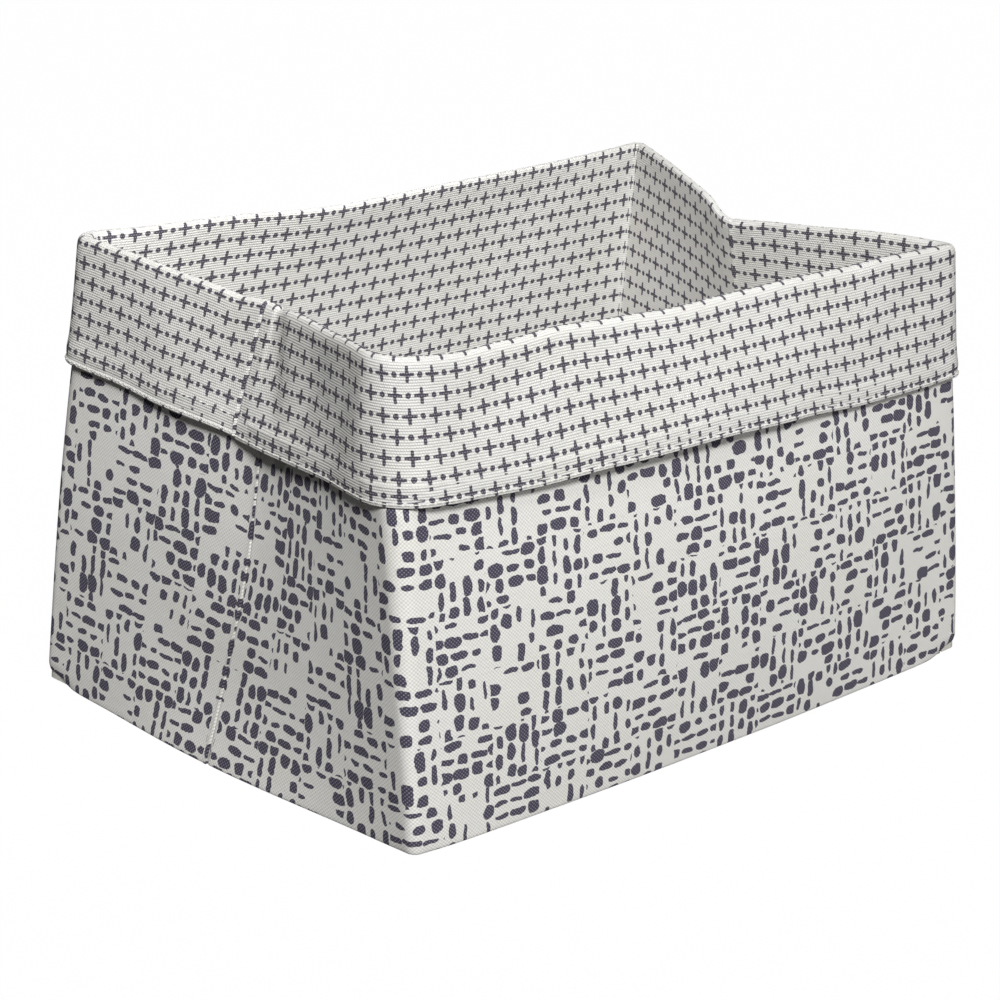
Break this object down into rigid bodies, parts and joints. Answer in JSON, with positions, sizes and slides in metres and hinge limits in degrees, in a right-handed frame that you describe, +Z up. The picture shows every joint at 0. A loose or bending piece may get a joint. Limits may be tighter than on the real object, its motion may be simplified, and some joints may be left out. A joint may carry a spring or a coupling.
{
  "type": "fabric storage basket",
  "caption": "Rectangular canvas storage basket, open on top, with a deep turned-down cuff; its ends and base fold in along a centre seam so that it collapses front to back.",
  "frame": {"origin": "middle of the underside, on the floor", "axes": "+X along the long side, -Y the front wall, +Z up"},
  "size_m": [0.35, 0.2554, 0.21],
  "materials": {
    "printed_canvas": "plain-weave canvas, ivory with a dark slate print",
    "cuff_canvas": "ribbed canvas, ivory with small slate plus signs and dots",
    "greyboard": "compressed paper board, hidden inside the walls",
    "felt": "stiff felt, hidden inside the ends"
  },
  "bodies": {
    "back_wall": {"rear_shell": "printed_canvas", "rear_board": "greyboard", "rear_lining": "cuff_canvas", "rear_cuff": "cuff_canvas"},
    "front_wall": {"front_shell": "printed_canvas", "front_board": "greyboard", "front_lining": "cuff_canvas", "front_cuff": "cuff_canvas"},
    "left_rear_half": {"left_rear_shell": "printed_canvas", "left_rear_stiffener": "felt", "left_rear_lining": "cuff_canvas", "left_rear_cuff": "cuff_canvas", "left_rear_corner_strip": "felt", "left_rear_gusset": "cuff_canvas"},
    "left_front_half": {"left_front_shell": "printed_canvas", "left_front_stiffener": "felt", "left_front_lining": "cuff_canvas", "left_front_cuff": "cuff_canvas", "left_front_corner_strip": "felt", "left_front_gusset": "cuff_canvas"},
    "right_rear_half": {"right_rear_shell": "printed_canvas", "right_rear_stiffener": "felt", "right_rear_lining": "cuff_canvas", "right_rear_cuff": "cuff_canvas", "right_rear_corner_strip": "felt", "right_rear_gusset": "cuff_canvas"},
    "right_front_half": {"right_front_shell": "printed_canvas", "right_front_stiffener": "felt", "right_front_lining": "cuff_canvas", "right_front_cuff": "cuff_canvas", "right_front_corner_strip": "felt", "right_front_gusset": "cuff_canvas"},
    "base_rear_half": {"base_rear_cloth": "printed_canvas", "base_rear_board": "greyboard", "base_rear_lining": "cuff_canvas"},
    "base_front_half": {"base_front_cloth": "printed_canvas", "base_front_board": "greyboard", "base_front_lining": "cuff_canvas"}
  },
  "joints": [
    {"name": "left_rear_corner", "type": "hinge", "parent": "back_wall", "child": "left_rear_half", "pos_m": [-0.161, 0.1085, 0], "axis": [0, 0, 1], "range_deg": [0, 78], "deforming": ["left_rear_gusset"]},
    {"name": "left_seam", "type": "hinge", "parent": "left_rear_half", "child": "left_front_half", "pos_m": [-0.1755, 0, 0], "axis": [0, 0, -1], "range_deg": [0, 156], "deforming": ["left_front_gusset"]},
    {"name": "left_front_corner", "type": "hinge", "parent": "left_front_half", "child": "front_wall", "pos_m": [-0.161, -0.1085, 0], "axis": [0, 0, 1], "range_deg": [0, 78]},
    {"name": "right_front_corner", "type": "hinge", "parent": "front_wall", "child": "right_front_half", "pos_m": [0.161, -0.1085, 0], "axis": [0, 0, 1], "range_deg": [0, 78], "deforming": ["right_front_gusset"]},
    {"name": "right_rear_corner", "type": "hinge", "parent": "back_wall", "child": "right_rear_half", "pos_m": [0.161, 0.1085, 0], "axis": [0, 0, -1], "range_deg": [0, 78], "deforming": ["right_rear_gusset"]},
    {"name": "base_rear_edge", "type": "hinge", "parent": "back_wall", "child": "base_rear_half", "pos_m": [0, 0.1145, 0.0048], "axis": [-1, 0, 0], "range_deg": [0, 88]},
    {"name": "base_front_edge", "type": "hinge", "parent": "front_wall", "child": "base_front_half", "pos_m": [0, -0.1145, 0.0048], "axis": [1, 0, 0], "range_deg": [0, 88]}
  ],
  "couplings": [
    {"joint": "left_seam", "follows": "left_rear_corner", "ratio": 2},
    {"joint": "left_front_corner", "follows": "left_rear_corner", "ratio": 1},
    {"joint": "right_front_corner", "follows": "left_rear_corner", "ratio": 1},
    {"joint": "right_rear_corner", "follows": "left_rear_corner", "ratio": 1},
    {"joint": "base_rear_edge", "follows": "left_rear_corner", "ratio": 1.1282},
    {"joint": "base_front_edge", "follows": "left_rear_corner", "ratio": 1.1282}
  ]
}
